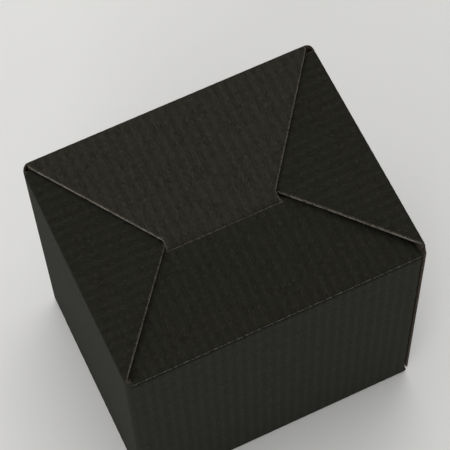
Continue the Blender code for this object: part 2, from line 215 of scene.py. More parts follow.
def distance_to(line, u, s):
    """Distance from each point to a chain of straight cuts."""
    best = np.full(len(u), 1.0)
    for (u0, s0), (u1, s1) in zip(line, line[1:]):
        run, rise = u1 - u0, s1 - s0
        length = run * run + rise * rise
        if length == 0.0:
            continue
        share = np.clip(((u - u0) * run + (s - s0) * rise) / length, 0.0, 1.0)
        best = np.minimum(best, np.hypot(u - u0 - share * run, s - s0 - share * rise))
    return best


def stations(low, high, special=()):
    """Places across the flutes: a fixed grid in step with them, plus both ends and the special ones."""
    step = PITCH / FLUTE_STEPS
    kept = [low, high]
    kept += [value for value in special if low < value < high]
    grid = np.arange(math.ceil(low / step), math.floor(high / step) + 1) * step
    clear = [value for value in grid if min(abs(value - other) for other in kept) > 0.3 * step]
    return np.array(sorted(kept + clear))


# --- sheets ---

START_ROWS = np.array([0.0, 0.5, 1.2, 2.2]) * MM
POST_ROWS = np.array([2.4, 1.5, 1.0, 0.6, 0.3, 0.0]) * MM
POST_DROP = 0.30 * MM         # a corner post's liner ends this far below the neighbouring crease
STEP_ROOM = 0.06 * MM         # between a post and the liner of the flap beside it
END_ROWS = np.array([3.0, 1.8, 1.1, 0.7, 0.35, 0.12, 0.0]) * MM


def rows_between(low, high, start_rows, end_rows, middle):
    """Rows of points from low to high for every column, closer together near both ends."""
    room = (high - low)[:, None]
    need = start_rows.max() + end_rows.max()
    scale = np.minimum(1.0, 0.8 * room / max(need, 1e-9))
    first = low[:, None] + start_rows[None, :] * scale
    last = high[:, None] - end_rows[None, :] * scale
    share = np.linspace(0.0, 1.0, middle + 2)[None, 1:-1]
    between = first[:, -1:] + (last[:, :1] - first[:, -1:]) * share
    return np.concatenate([first, between, last], axis=1)


def block(u, rows):
    """Points (u, s) and faces of one block of columns."""
    columns, count = rows.shape
    points = np.stack([np.repeat(u, count), rows.ravel()], axis=1)
    index = np.arange(columns * count).reshape(columns, count)
    corners = [index[:-1, :-1], index[1:, :-1], index[1:, 1:], index[:-1, 1:]]
    return points, np.stack([corner.ravel() for corner in corners], axis=1)


def joined(blocks):
    """Blocks joined into one sheet, sharing the points where they meet."""
    points, faces, count = [], [], 0
    for block_points, block_faces in blocks:
        points.append(block_points)
        faces.append(block_faces + count)
        count += len(block_points)
    points = np.concatenate(points)
    keys = np.round(points / 1e-7).astype(np.int64)
    unique, first, inverse = np.unique(keys, axis=0, return_index=True, return_inverse=True)
    faces = inverse.reshape(-1)[np.concatenate(faces)]
    return points[first], clean_faces(faces)


def clean_faces(faces):
    """Quads as lists of corners, with those that have shrunk to a triangle or a line tidied."""
    tidy = []
    for face in faces.tolist():
        corners = [corner for place, corner in enumerate(face) if corner != face[place - 1]]
        if len(set(corners)) == len(corners) and len(corners) > 2:
            tidy.append(corners)
    return tidy


def open_edges(faces):
    """Directed edges that only one face has."""
    edges = set()
    for face in faces:
        for place, corner in enumerate(face):
            edges.add((face[place - 1], corner))
    return [edge for edge in edges if (edge[1], edge[0]) not in edges]


class Sheet:
    """A flat layout of one panel: its points across and along the flutes, and its faces."""

    def __init__(self, blocks, cuts):
        points, self.faces = joined(blocks)
        self.u = points[:, 0]
        self.s = points[:, 1]
        self.edge = distance_to(cuts, self.u, self.s)
        self.rim = sorted(open_edges(self.faces))


def shell(name, sheet, place, top, bottom, materials):
    """A closed skin between two depths. materials are those of its top, bottom and cut faces."""
    count = len(sheet.u)
    upper = place(sheet.u, sheet.s, top)
    lower = place(sheet.u, sheet.s, bottom)
    a, b, c = sheet.faces[len(sheet.faces) // 2][:3]
    normal = np.cross(upper[b] - upper[a], upper[c] - upper[a])
    outward = float(normal @ (upper[a] - lower[a])) > 0.0
    tops = sheet.faces
    bottoms = [[corner + count for corner in reversed(face)] for face in sheet.faces]
    sides = [[b, a, a + count, b + count] for a, b in sheet.rim]
    faces = tops + bottoms + sides
    if not outward:
        faces = [list(reversed(face)) for face in faces]

    mesh = bpy.data.meshes.new(name)
    mesh.from_pydata(np.concatenate([upper, lower]).tolist(), [], faces)
    for material in materials:
        mesh.materials.append(material)
    slots = [0] * len(tops) + [1] * len(bottoms) + [2] * len(sides)
    mesh.polygons.foreach_set("material_index", slots)
    mesh.shade_smooth()
    mesh.set_sharp_from_angle(angle=math.radians(38.0))
    add_board_coordinates(mesh, sheet)
    piece = bpy.data.objects.new(name, mesh)
    bpy.context.scene.collection.objects.link(piece)
    return piece


def add_board_coordinates(mesh, sheet):
    """Store each point's place on the board in millimetres: u, s and the distance to a cut edge."""
    values = np.stack([sheet.u, sheet.s, sheet.edge], axis=1) / MM
    values = np.concatenate([values, values]).astype(np.float32)
    attribute = mesh.attributes.new("board", "FLOAT_VECTOR", "POINT")
    attribute.data.foreach_set("vector", values.ravel())


# --- plies ---

def ply_depths(sheet, squeeze):
    """Depths of the outer liner's face and the inner liner's face, and the height of the fluting."""
    phase = 2.0 * math.pi * sheet.u / PITCH
    crest = 0.5 + 0.5 * np.cos(phase)
    thickness = squeeze(sheet.u, sheet.s)
    loose = np.clip((thickness - 1.0 + CREASE_CRUSH) / CREASE_CRUSH, 0.0, 1.0)
    crush = smooth(1.0 - sheet.edge / CRUSH_REACH) * loose
    free = 1.0 - crush
    outer = RIB_RELIEF * (1.0 - crest) * free + OUTER_CRUSH * crush
    inner = BOARD - RIB_RELIEF * crest * free - INNER_CRUSH * crush
    return outer, inner * thickness, crest


def make_plies(name, sheet, place, squeeze, paint, flute_sheet=None, inner_sheet=None, swell=1.0):
    """The three plies of one panel, as separate pieces. swell is the share of the fluting's height."""
    outer, inner, crest = ply_depths(sheet, squeeze)
    skin = shell(name + "_outer_liner", sheet, place, outer, outer + LINER, paint["outer"])

    inner_sheet = inner_sheet or sheet
    outer, inner, crest = ply_depths(inner_sheet, squeeze)
    lining = shell(name + "_inner_liner", inner_sheet, place, inner, inner - LINER, paint["inner"])

    flute_sheet = flute_sheet or sheet
    outer, inner, crest = ply_depths(flute_sheet, squeeze)
    slack = 0.02 * MM
    top = outer + LINER + slack
    room = inner - LINER - slack - FLUTE_SHEET - top
    wave = top + room * (1.0 - crest) * swell
    core = shell(name + "_fluting", flute_sheet, place, wave, wave + FLUTE_SHEET, paint["core"])
    return skin, core, lining


# --- creased flaps ---

class Crease:
    """A score line. The board comes along `parent`, turns towards `inward` and goes on as the flap."""

    def __init__(self, corner, along, parent, inward, turn=90.0, corners=None):
        self.corner = np.array(corner, float)
        self.along = np.array(along, float)
        self.parent = np.array(parent, float)
        self.inward = np.array(inward, float)
        self.turn = math.radians(turn)
        self.tangent = NOSE_RADIUS * math.tan(self.turn / 2.0)
        self.arc_end = self.tangent
        self.arc_start = self.tangent - NOSE_RADIUS * self.turn
        self.inner_room = BOARD * math.tan(self.turn / 2.0) + INNER_SEAM_ROOM
        self.outer_room = max(SEAM_DROP, self.tangent + 0.5 * MM)
        self.corners = corners

    def seam(self, room):
        """Where the flap's sheet starts, for a seam this far before the crease."""
        return self.arc_start - (room - self.tangent)

    def squeeze(self, u, s):
        """The board is thinner on the score line."""
        middle = (self.arc_start + self.arc_end) / 2.0
        return 1.0 - CREASE_CRUSH * np.exp(-((s - middle) / (0.9 * MM)) ** 2)

    def place(self, u, s, depth):
        turned = np.clip((s - self.arc_start) / NOSE_RADIUS, 0.0, self.turn)
        before = np.minimum(s - self.arc_start, 0.0)
        after = np.maximum(s - self.arc_end, 0.0)
        forward = NOSE_RADIUS * np.sin(turned) - self.tangent + before + after * math.cos(self.turn)
        across = NOSE_RADIUS * (1.0 - np.cos(turned)) + after * math.sin(self.turn)
        forward = forward - np.sin(turned) * depth
        across = across + np.cos(turned) * depth + self.corner_inset(u, s)
        return (self.corner + np.outer(u, self.along) + np.outer(forward, self.parent)
                + np.outer(across, self.inward))

    def corner_inset(self, u, s):
        """Below its crest, the fold follows the rounded upright corners at its ends."""
        if self.corners is None:
            return 0.0
        low, high, radius = self.corners
        past = np.maximum(np.maximum(low - u, u - high), 0.0)
        past = np.minimum(past, 0.9 * radius)
        inset = radius - np.sqrt(radius ** 2 - past ** 2)
        return inset * smooth((0.3 * MM - s) / (2.0 * MM))

    def bend(self, piece, parent_body, body, inner):
        """Bake the liner's placement into its mesh."""
        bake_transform(piece)


def flap_rows(crease, u, room, high, middle):
    """Rows of a flap: from its seam on the parent, round the nose, then out to its cut edge."""
    high = np.maximum(high, crease.arc_start + 0.5 * MM)
    low = np.minimum(crease.arc_end, high - 0.25 * MM)
    turned = np.linspace(0.0, 1.0, 7)[None, :-1]
    arc_rows = crease.arc_start + (low[:, None] - crease.arc_start) * turned
    seam_row = np.full((len(u), 1), crease.seam(room))
    lead = np.concatenate([seam_row, arc_rows], axis=1)
    return np.concatenate([lead, rows_between(low, high, START_ROWS, END_ROWS, middle)], axis=1)


def flap_sheet(crease, u, room, line, cuts, middle, more=()):
    rows = flap_rows(crease, u, room, along_line(line, u), middle)
    return Sheet([block(u, rows)] + list(more), cuts)


def flute_block(crease, u, line, middle):
    """The fluting starts past the score line, where it is no longer crushed flat."""
    high = along_line(line, u)
    start = crease.arc_end + FLUTE_START
    wide = high > start + 0.3 * MM
    u, high = u[wide], high[wide]
    low = np.full(len(u), start)
    return block(u, rows_between(low, high, np.zeros(1), END_ROWS, middle))


def make_flap(name, nodes, crease, u, line, cuts, sag, paint, parent_body="walls", more=(), middle=8):
    """One hinged panel. line is its cut edge over u, cuts are all its cut edges."""
    def place(u, s, depth):
        fallen = sag(u, np.maximum(s, 0.0)) * smooth((s - crease.arc_start) / (2.0 * MM))
        return crease.place(u, s, depth + fallen)

    outer_sheet = flap_sheet(crease, u, crease.outer_room, line, cuts, middle, more)
    inner_sheet = flap_sheet(crease, u, crease.inner_room, line, cuts, middle, more)
    flute_sheet = Sheet([flute_block(crease, u, line, middle)] + list(more), cuts)
    past = flute_sheet.s - crease.arc_end - FLUTE_START
    swell = CRUSHED_FLUTE + (1.0 - CRUSHED_FLUTE) * smooth(past / FLUTE_RECOVERY)
    skin, core, lining = make_plies(name, outer_sheet, place, crease.squeeze, paint,
                                    flute_sheet, inner_sheet, swell)
    crease.bend(skin, parent_body, name, inner=False)
    crease.bend(lining, parent_body, name, inner=True)
    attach(core, name)
    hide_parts(*nodes)


# --- how each flap of the bottom lies ---

def tongue_sag(u, reach):
    """The middle runs straight to the recess edge. Beside it the flap rides over the side flaps' tips."""
    recess_at = WIDTH - RECESS_REACH
    past = np.maximum(reach - recess_at, 0.0)
    near_recess = smooth((reach - SHOULDER_REACH) / (recess_at - SHOULDER_REACH))
    riding = SAG_AT_SHOULDER * np.minimum(reach / SHOULDER_REACH, 1.0)
    riding = riding + (SAG_AT_RECESS - SAG_AT_SHOULDER) * near_recess
    straight = SAG_AT_RECESS * np.minimum(reach / recess_at, 1.0)
    left = smooth((u - TONGUE_LEFT_X - LEFT_RIDE) / RIDE_RAMP)
    right = smooth((TONGUE_RIGHT_X - RIGHT_RIDE - u) / RIDE_RAMP)
    dive = HIDDEN_DIVE * np.minimum(past / HIDDEN_DIVE_LENGTH, 1.0) + DIVE_TAIL * past
    return riding + (straight - riding) * left * right + dive


def recess_sag(u, reach):
    """The flap rises to its recess, and fans down beside it to pass under the side flaps."""
    capped = np.minimum(reach, RECESS_REACH)
    past = np.maximum(reach - RECESS_REACH, 0.0)
    left_cover = -HALF_LENGTH + (capped - LEFT_FRONT_EDGE[0]) / LEFT_FRONT_EDGE[1]
    right_cover = HALF_LENGTH - (capped - RIGHT_FRONT_EDGE[0]) / RIGHT_FRONT_EDGE[1]
    left = smooth((u - left_cover) / (TONGUE_LEFT_X + GAP - left_cover))
    right = smooth((right_cover - u) / (right_cover - TONGUE_RIGHT_X + GAP))
    high_share = np.minimum(left, right) * np.maximum(1.0 - past / LEG_RAMP, 0.0)
    rise = RECESS_LOW_RISE + (RECESS_HIGH_RISE - RECESS_LOW_RISE) * high_share
    from_tongue = np.maximum(TONGUE_LEFT_X - u, u - TONGUE_RIGHT_X)
    droop = RECESS_EDGE_DROOP + LEG_DROOP * smooth(from_tongue / (2.0 * MM))
    return droop * past - rise * capped / RECESS_REACH


def side_sag(y, reach, tip_reach, cover_reach, front_reach):
    """A side flap dips under the tongue flap, and its front edge rides over the recess flap."""
    room = np.maximum(front_reach - cover_reach, 0.5 * MM)
    share = smooth((HALF_WIDTH - y - cover_reach) / room)
    front_dip = FRONT_DIP + (TIP_DIP - FRONT_DIP) * smooth((reach / tip_reach - 0.6) / 0.4)
    dip = SIDE_FLAP_DIP + (front_dip - SIDE_FLAP_DIP) * share
    return dip * reach / tip_reach


def left_sag(y, reach):
    cover = LEFT_COVER[0] + reach / LEFT_COVER[1]
    front = WIDTH - LEFT_FRONT_EDGE[0] - LEFT_FRONT_EDGE[1] * reach
    return side_sag(y, reach, LEFT_TIP_REACH, cover, front)


def right_sag(y, reach):
    cover = RIGHT_COVER[0] + reach / RIGHT_COVER[1]
    front = WIDTH - RIGHT_FRONT_EDGE[0] - RIGHT_FRONT_EDGE[1] * reach
    return side_sag(y, reach, RIGHT_TIP_REACH, cover, front)


def no_sag(u, reach):
    return np.zeros_like(reach)


# --- the flaps of the bottom ---

def make_tongue_flap(paint):
    crease = Crease(CREASE_AT["tongue_flap"], (1, 0, 0), (0, 0, 1), (0, -1, 0))
    left, right = BOX["tongue_flap"][0].x, BOX["tongue_flap"][1].x
    rounding = TONGUE_ROUNDING
    line = [(left, BOARD), (TONGUE_LEFT_X, SHOULDER_REACH), (TONGUE_RIGHT_X, SHOULDER_REACH), (right, BOARD)]
    tip = arc(TONGUE_LEFT_X + rounding, TONGUE_END_REACH - rounding, rounding, 180.0, 90.0)
    tip += arc(TONGUE_RIGHT_X - rounding, TONGUE_END_REACH - rounding, rounding, 90.0, 0.0)
    seam = crease.seam(crease.inner_room)
    cuts = [(left, seam), *line[:2], *tip, *line[2:], (right, seam)]
    u = stations(left, right, [TONGUE_LEFT_X, TONGUE_RIGHT_X] + [point[0] for point in tip])
    inside = u[(u >= TONGUE_LEFT_X - 1e-9) & (u <= TONGUE_RIGHT_X + 1e-9)]
    low = np.full(len(inside), SHOULDER_REACH)
    rows = rows_between(low, along_line(tip, inside), np.array([0.0, 0.4, 1.0, 2.0]) * MM, END_ROWS, 8)
    make_flap("tongue_flap", ["tongue_flap", "lock_tongue"], crease, u, line, cuts, tongue_sag, paint,
              more=[block(inside, rows)])


def side_flap_line(tip_reach, tip_back, corner_reach, corner_front, free_reach):
    """The cut edge of a side flap over its crease, from the front corner to the hidden back edge."""
    hidden_start = BOARD + 1.5 * GAP
    points = [(WIDTH - corner_front, corner_reach), (tip_back, tip_reach), (SHOULDER_REACH, tip_reach)]
    points += [(SHOULDER_REACH - FREE_CORNER, free_reach)]
    points += [(hidden_start + SIDE_FLAP_TAPER * free_reach, free_reach)]
    points += [(hidden_start, SIDE_FLAP_SHOULDER)]
    return [(HALF_WIDTH - back, reach) for back, reach in points]


def make_side_flap(name, side, line, sag, paint):
    corner = CREASE_AT[name]
    rounded = (-HALF_WIDTH + CORNER_RADIUS, HALF_WIDTH - CORNER_RADIUS, CORNER_RADIUS)
    crease = Crease(corner, (0, 1, 0), (0, 0, 1), (-side, 0, 0), corners=rounded)
    seam = crease.seam(crease.inner_room)
    cuts = [(line[0][0], seam), *line, (line[-1][0], seam)]
    u = stations(line[0][0], line[-1][0], [point[0] for point in line[1:-1]])
    make_flap(name, [name], crease, u, line, cuts, sag, paint)


def make_recess_flap(paint):
    """The recess flap. Near its crease its right side reaches into the pressed, glued corner."""
    low_x, high_x = BOX["recess_flap"][0].x, BOX["recess_flap"][1].x
    corner_x = high_x + 2.0 * GAP
    crease = Crease(CREASE_AT["recess_flap"], (1, 0, 0), (0, 0, 1), (0, 1, 0),
                    corners=(low_x, GLUE_BEND_X, GLUE_BEND_RADIUS))
    recess_left, recess_right = TONGUE_LEFT_X - RECESS_ROOM, TONGUE_RIGHT_X + RECESS_ROOM
    left_leg, right_leg = recess_left - LEFT_LEG_WIDTH, recess_right + RIGHT_LEG_WIDTH
    share = (RECESS_REACH - RECESS_SHOULDER) / (LEG_REACH - RECESS_SHOULDER)
    left_side = (low_x + (left_leg - low_x) * share, RECESS_REACH)
    right_side = (high_x + (right_leg - high_x) * share, RECESS_REACH)
    cut_back = (2.2 * LEG_CORNER, LEG_REACH - LEG_CORNER)
    left_end = [left_side, (left_leg, LEG_REACH), (recess_left - cut_back[0], LEG_REACH),
                (recess_left, cut_back[1])]
    right_end = [(recess_right, cut_back[1]), (recess_right + cut_back[0], LEG_REACH),
                 (right_leg, LEG_REACH), right_side]

    line = [(low_x, RECESS_SHOULDER), left_side, right_side, (high_x, RECESS_SHOULDER), (corner_x, BOARD)]
    seam = crease.seam(crease.inner_room)
    cuts = [(low_x, seam), line[0], *left_end, (recess_left, RECESS_REACH), (recess_right, RECESS_REACH)]
    cuts += [*right_end, line[3], line[4], (corner_x, seam)]
    u = stations(low_x, corner_x, [point[0] for point in cuts])
    more = []
    for leg_line in (left_end, right_end):
        inside = u[(u >= leg_line[0][0] - 1e-9) & (u <= leg_line[-1][0] + 1e-9)]
        low = np.full(len(inside), RECESS_REACH)
        top = along_line(leg_line, inside)
        more.append(block(inside, rows_between(low, top, np.zeros(1), END_ROWS * 0.4, 4)))
    make_flap("recess_flap", ["recess_flap"], crease, u, line, cuts, recess_sag, paint, more=more)


# --- the lid and its flaps ---

def make_lid(paint):
    """The lid bends from the front wall's foot and carries the tuck flap on its back edge."""
    crease = Crease(CREASE_AT["lid"], (1, 0, 0), (0, 0, -1), (0, 1, 0))
    tuck = tuck_crease()
    left, right = BOX["lid"][0].x, BOX["lid"][1].x
    tuck_left, tuck_right = BOX["tuck_flap"][0].x, BOX["tuck_flap"][1].x
    free = BOX["lid"][1].y + HALF_WIDTH
    edge = free - tuck.inner_room
    line = [(left, edge), (right, edge)]
    seam = crease.seam(crease.inner_room)
    cuts = [(left, seam), (left, free), (tuck_left, free), (tuck_left, edge)]
    other = [(tuck_right, edge), (tuck_right, free), (right, free), (right, seam)]
    u = stations(left, right, [tuck_left, tuck_right])
    more = []
    for low_u, high_u in ((left, tuck_left), (tuck_right, right)):
        inside = u[(u >= low_u - 1e-9) & (u <= high_u + 1e-9)]
        low = np.full(len(inside), edge)
        more.append(block(inside, rows_between(low, low + tuck.inner_room, np.zeros(1), END_ROWS * 0.3, 1)))
    make_flap("lid", ["lid"], crease, u, line, cuts + other, no_sag, paint, more=more)


def tuck_crease():
    return Crease(CREASE_AT["tuck_flap"], (1, 0, 0), (0, 1, 0), (0, 0, 1), turn=90.0 + TUCK_LEAN)


def make_tuck_flap(paint):
    crease = tuck_crease()
    low, high = BOX["tuck_flap"]
    rounding = TUCK_ROUNDING
    reach = (high.z - BOARD * math.sin(math.radians(TUCK_LEAN))) / math.cos(math.radians(TUCK_LEAN))
    line = arc(low.x + rounding, reach - rounding, rounding, 180.0, 90.0, 10)
    line += arc(high.x - rounding, reach - rounding, rounding, 90.0, 0.0, 10)
    seam = crease.seam(crease.inner_room)
    cuts = [(low.x, seam), *line, (high.x, seam)]
    u = stations(low.x, high.x, [point[0] for point in line[1:-1]])
    make_flap("tuck_flap", ["tuck_flap"], crease, u, line, cuts, no_sag, paint, parent_body="lid")


def make_dust_flap(name, side, paint):
    rounded = (-HALF_WIDTH + CORNER_RADIUS, HALF_WIDTH - CORNER_RADIUS, CORNER_RADIUS)
    crease = Crease(CREASE_AT[name], (0, 1, 0), (0, 0, -1), (-side, 0, 0), corners=rounded)
    front, back = BOX[name][0].y, BOX[name][1].y
    reach = abs(BOX[name][1].x - BOX[name][0].x)
    slant = 0.80 * reach
    line = [(front, 0.0), (front + slant, reach), (back - 6.0 * MM, reach)]
    line += [(back - 1.0 * MM, reach - 4.0 * MM), (back, BOARD)]
    seam = crease.seam(crease.inner_room)
    cuts = [(front, seam), *line, (back, seam)]
    u = stations(front, back, [point[0] for point in line[1:-1]])
    make_flap(name, [name], crease, u, line, cuts, no_sag, paint)


# --- the walls ---

class Wall:
    """An upright panel. Its outer face is flat between two places and turns away beyond them."""

    def __init__(self, face, along, inward, flat, radii):
        self.face = np.array(face, float)
        self.along = np.array(along, float)
        self.inward = np.array(inward, float)
        self.flat = flat
        self.radii = radii

    def place(self, u, s, depth):
        across = np.clip(u, *self.flat)
        deep = np.broadcast_to(depth, u.shape).astype(float)
        for end, sign, radius in ((0, -1.0, self.radii[0]), (1, 1.0, self.radii[1])):
            if radius is None:
                continue
            past = np.maximum(sign * (u - self.flat[end]), 0.0)
            angle = past / radius
            left_over = np.maximum(radius - deep, 0.02 * MM)
            turned = past > 0.0
            across = np.where(turned, across + sign * left_over * np.sin(angle), across)
            deep = np.where(turned, radius - left_over * np.cos(angle), deep)
        points = self.face + np.outer(across, self.along) + np.outer(deep, self.inward)
        points[:, 2] += s
        return points


def plain_squeeze(u, s):
    return np.ones_like(s)


def raw_edge_squeeze(u, s):
    """The glued corner is pressed, so the right wall thins towards its raw front edge."""
    return 1.0 - RAW_EDGE_CRUSH * smooth(1.0 - (u - BOX["right_wall"][0].y) / RAW_CRUSH_REACH)


def no_press(u):
    return np.zeros_like(u)


def raw_edge_press(u):
    return GLUE_PRESS * smooth(1.0 - (u - BOX["right_wall"][0].y) / RAW_PRESS_REACH)


def nose_inset(below_crest):
    """How far a post's liner leans in at this distance below the level of its neighbour's crease."""
    inward = np.clip(NOSE_RADIUS - below_crest, 0.0, 0.98 * NOSE_RADIUS)
    return NOSE_RADIUS - np.sqrt(NOSE_RADIUS ** 2 - inward ** 2)


def make_wall(name, wall, u, foot, head, cuts, paint, inner_room=(0.0, 0.0), posts=None,
              squeeze=plain_squeeze, press=no_press, middle=10):
    """One wall, with lines for its foot and head levels over u.

    posts is the head line of the outer liner where it stands taller, beside a flap, at a corner.
    """
    def sheet(lower, upper, top_line):
        low, high = along_line(foot, u) + lower, along_line(top_line, u) - upper
        ends = np.array([0.0, 0.6, 1.6]) * MM
        return Sheet([block(u, rows_between(low, high, ends, POST_ROWS, middle))], cuts)

    def place(u, s, depth):
        return wall.place(u, s, depth + press(u) + nose_inset(along_line(posts or head, u) + POST_DROP - s))

    inner = sheet(*inner_room, head)
    outer = sheet(0.0, 0.0, posts or head)
    pieces = make_plies(name, outer, place, squeeze, paint, inner, inner)
    for piece in pieces:
        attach(piece, "walls")
    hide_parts(name)


def make_walls(paint):
    half_turn = CORNER_RADIUS * math.pi / 4.0
    bend_x, bend_y = HALF_LENGTH - CORNER_RADIUS, HALF_WIDTH - CORNER_RADIUS
    arc_x, arc_y = bend_x + half_turn, bend_y + half_turn
    inner_drop = BOARD + INNER_SEAM_ROOM - SEAM_DROP
    tongue_seam, side_seam, recess_seam = (
        level - SEAM_DROP for level in (TONGUE_CREASE_Z, SIDE_CREASE_Z, RECESS_CREASE_Z))
    tongue_post, side_post, recess_post = (
        level - POST_DROP for level in (TONGUE_CREASE_Z, SIDE_CREASE_Z, RECESS_CREASE_Z))
    dust_seam, lid_seam = DUST_CREASE_Z + SEAM_DROP, SEAM_DROP
    front_corner = (side_seam + recess_seam) / 2.0
    back_corner = (side_seam + tongue_seam) / 2.0
    back_post = (side_post + tongue_post) / 2.0
    front_post = side_post - 0.9 * MM
    foot_corner = (dust_seam + lid_seam) / 2.0
    tongue_low, tongue_high = BOX["tongue_flap"][0].x - STEP_ROOM, BOX["tongue_flap"][1].x + STEP_ROOM
    recess_low = BOX["recess_flap"][0].x - STEP_ROOM
    glue_arc = GLUE_BEND_X + GLUE_BEND_RADIUS * math.pi / 2.0
    recess_high = GLUE_BEND_X + 0.9 * MM

    front = Wall((0, -HALF_WIDTH, 0), (1, 0, 0), (0, 1, 0), (-bend_x, GLUE_BEND_X),
                 (CORNER_RADIUS, GLUE_BEND_RADIUS))
    head = [(-arc_x, front_corner), (-bend_x, recess_seam), (glue_arc, recess_seam)]
    posts = [(-arc_x, front_post), (recess_low, front_post - 0.7 * MM), (recess_low + STEP_ROOM, recess_seam),
             (recess_high, recess_seam), (recess_high + STEP_ROOM, recess_post), (glue_arc, recess_post)]
    foot = [(-arc_x, foot_corner), (-bend_x, lid_seam), (glue_arc, lid_seam)]
    special = [-bend_x, GLUE_BEND_X] + [point[0] for point in posts[1:-1]]
    u = stations(-arc_x, glue_arc, special + list(np.linspace(GLUE_BEND_X, glue_arc, 7)[1:-1]))
    make_wall("front_wall", front, u, foot, head, far_cut(), paint, (inner_drop, inner_drop), posts)

    back = Wall((0, HALF_WIDTH, 0), (1, 0, 0), (0, -1, 0), (-bend_x, bend_x), (CORNER_RADIUS, CORNER_RADIUS))
    head = [(-arc_x, back_corner), (-bend_x, tongue_seam), (bend_x, tongue_seam), (arc_x, back_corner)]
    posts = [(-arc_x, back_post), (tongue_low, tongue_post), (tongue_low + STEP_ROOM, tongue_seam),
             (tongue_high - STEP_ROOM, tongue_seam), (tongue_high, tongue_post), (arc_x, back_post)]
    low = BOX["back_wall"][0].z
    foot = [(-arc_x, low), (arc_x, low)]
    u = stations(-arc_x, arc_x, [-bend_x, bend_x] + [point[0] for point in posts[1:-1]])
    make_wall("back_wall", back, u, foot, head, foot, paint, (0.0, inner_drop), posts)

    side_end = BOX["left_side_flap"][1].y + STEP_ROOM
    left = Wall((-HALF_LENGTH, 0, 0), (0, 1, 0), (1, 0, 0), (-bend_y, bend_y), (CORNER_RADIUS, CORNER_RADIUS))
    head = [(-arc_y, front_corner), (-bend_y, side_seam), (bend_y, side_seam), (arc_y, back_corner)]
    posts = [(-arc_y, side_seam), (side_end - STEP_ROOM, side_seam), (side_end, side_post),
             (arc_y, back_post)]
    foot = [(-arc_y, foot_corner), (-bend_y, dust_seam), (bend_y, dust_seam), (arc_y, low)]
    u = stations(-arc_y, arc_y, [-bend_y, bend_y] + [point[0] for point in posts[1:-1]])
    make_wall("left_wall", left, u, foot, head, far_cut(), paint, (inner_drop, inner_drop), posts)

    raw_y = BOX["right_wall"][0].y
    side_start = BOX["right_side_flap"][0].y - STEP_ROOM
    right = Wall((HALF_LENGTH, 0, 0), (0, 1, 0), (-1, 0, 0), (raw_y, bend_y), (None, CORNER_RADIUS))
    head = [(raw_y, side_seam), (bend_y, side_seam), (arc_y, back_corner)]
    posts = [(raw_y, side_post - 2.0 * MM), (side_start, side_post - 0.3 * MM),
             (side_start + STEP_ROOM, side_seam), (side_end - STEP_ROOM, side_seam), (side_end, side_post),
             (arc_y, back_post)]
    dust_start = BOX["right_dust_flap"][0].y - STEP_ROOM
    right_low = BOX["right_wall"][0].z
    foot = [(raw_y, right_low), (dust_start, right_low), (dust_start + STEP_ROOM, dust_seam),
            (bend_y, dust_seam), (arc_y, low)]
    near_cut = [raw_y + offset * MM for offset in (0.12, 0.3, 0.6)]
    near_cut += [dust_start, dust_start + STEP_ROOM, bend_y]
    u = stations(raw_y, arc_y, near_cut + [point[0] for point in posts[1:-1]])
    raw_cut = [(raw_y, 0.0), (raw_y, TONGUE_CREASE_Z)]
    make_wall("right_wall", right, u, foot, head, raw_cut, paint, (inner_drop, inner_drop), posts,
              raw_edge_squeeze, raw_edge_press)


def far_cut():
    """A panel without a cut edge of its own."""
    return [(-1.0, -1.0), (-1.0, -1.1)]


def make_glue_flap(paint):
    """The glue flap comes from the tight bend, close to the right wall, and eases back to its place."""
    low, high = BOX["glue_flap"]
    slant = 3.0 * MM
    wall = Wall((high.x, 0, 0), (0, 1, 0), (-1, 0, 0), (-HALF_WIDTH, high.y), (None, None))
    start = -HALF_WIDTH + GLUE_BEND_RADIUS + 0.05 * MM
    bend_offset = GLUE_BEND_X + GLUE_BEND_RADIUS - high.x
    foot = [(start, low.z), (high.y, low.z + slant)]
    head = [(start, high.z), (high.y, high.z - slant)]
    cuts = foot + head[::-1]

    def place(u, s, depth):
        return wall.place(u, s, depth - bend_offset * (1.0 - smooth((u - start) / (4.0 * MM))))

    u = stations(start, high.y)
    ends = np.array([0.0, 0.6, 1.6]) * MM
    rows = rows_between(along_line(foot, u), along_line(head, u), ends, ends[::-1], 6)
    sheet = Sheet([block(u, rows)], cuts)
    pieces = make_plies("glue_flap", sheet, place, plain_squeeze, paint)
    for piece in pieces:
        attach(piece, "walls")
    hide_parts("glue_flap")


